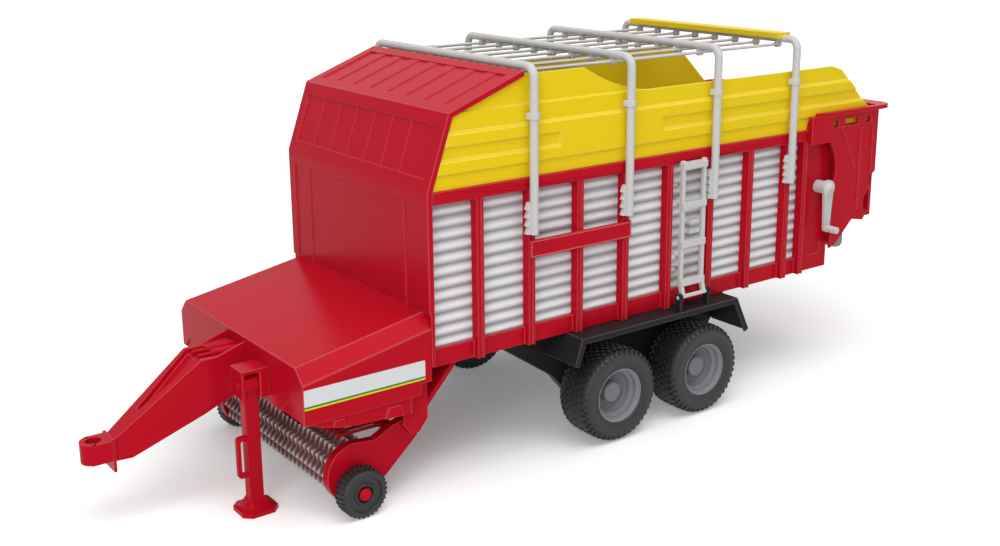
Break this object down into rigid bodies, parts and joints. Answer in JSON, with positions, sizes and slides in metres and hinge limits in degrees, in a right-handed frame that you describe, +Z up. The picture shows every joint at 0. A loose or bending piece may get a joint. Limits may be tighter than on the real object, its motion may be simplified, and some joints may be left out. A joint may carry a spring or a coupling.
{
  "type": "toy loader wagon",
  "caption": "Toy loader wagon with tandem wheels, toothed pick-up reel that lifts, corrugated sides, roof bows, hinged tailgate, hand crank, ladder and folding parking leg.",
  "frame": {"origin": "on the floor, under the middle of the wagon's length and width", "axes": "+X forward to the drawbar eye, +Y to the wagon's left, +Z up"},
  "size_m": [0.5575, 0.1854, 0.2394],
  "materials": {
    "red": "glossy moulded plastic",
    "yellow": "satin moulded plastic",
    "silver": "silver-white moulded plastic",
    "white": "off-white moulded plastic",
    "grey": "light grey moulded plastic",
    "black": "satin black moulded plastic",
    "steel": "plain steel rod",
    "rim": "mid-grey moulded plastic",
    "tyre": "matt black soft plastic"
  },
  "bodies": {
    "wagon": {"front_wall": "red", "side_frame_left": "red", "side_frame_right": "red", "hood": "red", "drawbar": "red", "drawbar_cylinders": "red", "leg_bracket": "red", "intake": "red", "sign_board_left": "red", "sign_board_right": "red", "upper_wall_left": "yellow", "upper_wall_right": "yellow", "roof_cap": "yellow", "side_sheets_left": "silver", "side_sheets_right": "silver", "side_door": "silver", "roof_bow_1": "white", "roof_bow_2": "white", "roof_bow_3": "white", "roof_bow_4": "white", "roof_rods": "white", "load_floor": "grey", "scraper": "grey", "chassis": "black", "bogie_left": "black", "bogie_right": "black", "fender_left": "black", "fender_right": "black", "axle_front": "steel", "axle_rear": "steel", "ladder_brackets": "black"},
    "wheel_front_left": {"tyre_front_left": "tyre", "rim_front_left": "rim"},
    "wheel_front_right": {"tyre_front_right": "tyre", "rim_front_right": "rim"},
    "wheel_rear_left": {"tyre_rear_left": "tyre", "rim_rear_left": "rim"},
    "wheel_rear_right": {"tyre_rear_right": "tyre", "rim_rear_right": "rim"},
    "pickup": {"pickup_frame": "red"},
    "reel": {"reel_core": "red", "reel_discs": "white"},
    "gauge_left": {"gauge_wheel_left": "black"},
    "gauge_right": {"gauge_wheel_right": "black"},
    "leg": {"parking_leg": "red"},
    "tailgate": {"tailgate": "red", "gate_strip": "grey"},
    "crank": {"crank": "white"},
    "ladder": {"ladder": "white"}
  },
  "joints": [
    {"name": "wheel_front_left_spin", "type": "hinge", "parent": "wagon", "child": "wheel_front_left", "pos_m": [-0.0249, 0.0768, 0.0297], "axis": [0, 1, 0], "continuous": true},
    {"name": "wheel_front_right_spin", "type": "hinge", "parent": "wagon", "child": "wheel_front_right", "pos_m": [-0.0249, -0.0768, 0.0297], "axis": [0, 1, 0], "continuous": true},
    {"name": "wheel_rear_left_spin", "type": "hinge", "parent": "wagon", "child": "wheel_rear_left", "pos_m": [-0.0972, 0.0768, 0.0297], "axis": [0, 1, 0], "continuous": true},
    {"name": "wheel_rear_right_spin", "type": "hinge", "parent": "wagon", "child": "wheel_rear_right", "pos_m": [-0.0972, -0.0768, 0.0297], "axis": [0, 1, 0], "continuous": true},
    {"name": "pickup_lift", "type": "hinge", "parent": "wagon", "child": "pickup", "pos_m": [0.1145, 0, 0.042], "axis": [0, -1, 0], "range_deg": [0, 18]},
    {"name": "reel_spin", "type": "hinge", "parent": "pickup", "child": "reel", "pos_m": [0.1505, 0, 0.0225], "axis": [0, 1, 0], "continuous": true},
    {"name": "gauge_left_spin", "type": "hinge", "parent": "pickup", "child": "gauge_left", "pos_m": [0.1513, 0.0771, 0.01406], "axis": [0, 1, 0], "continuous": true},
    {"name": "gauge_right_spin", "type": "hinge", "parent": "pickup", "child": "gauge_right", "pos_m": [0.1513, -0.0771, 0.01406], "axis": [0, 1, 0], "continuous": true},
    {"name": "leg_fold", "type": "hinge", "parent": "wagon", "child": "leg", "pos_m": [0.1943, 0.0348, 0.0735], "axis": [1, 0, 0], "range_deg": [0, 90]},
    {"name": "tailgate_lift", "type": "hinge", "parent": "wagon", "child": "tailgate", "pos_m": [-0.2047, 0, 0.1755], "axis": [0, 1, 0], "range_deg": [0, 90]},
    {"name": "crank_turn", "type": "hinge", "parent": "wagon", "child": "crank", "pos_m": [-0.2138, 0.083, 0.1328], "axis": [0, 1, 0], "continuous": true},
    {"name": "ladder_fold", "type": "hinge", "parent": "wagon", "child": "ladder", "pos_m": [-0.08745, 0.086, 0.082], "axis": [-1, 0, 0], "range_deg": [0, 95]}
  ]
}
